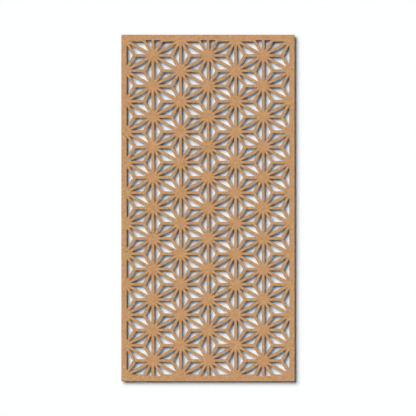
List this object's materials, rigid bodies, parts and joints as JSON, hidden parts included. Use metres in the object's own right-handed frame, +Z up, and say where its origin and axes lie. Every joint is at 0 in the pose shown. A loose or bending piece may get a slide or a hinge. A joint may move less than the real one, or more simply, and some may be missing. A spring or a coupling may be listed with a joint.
{
  "type": "mashrabiya screen",
  "caption": "Flat pierced screen panel of bare MDF, cut through with a lattice of twelve-rayed stars inside a plain border, fixed upright by its back face.",
  "frame": {"origin": "centre of the back face, on the star in the middle of the lattice", "axes": "+Z up along the panel's height, +Y out of the back face towards what the panel is fixed to, so the front faces -Y, and +X to the right as seen from the front"},
  "size_m": [0.6, 0.006, 1.2],
  "materials": {
    "mdf": "bare, matt medium-density fibreboard, with scorched cut edges"
  },
  "bodies": {
    "root": {"screen_panel": "mdf"}
  },
  "joints": []
}
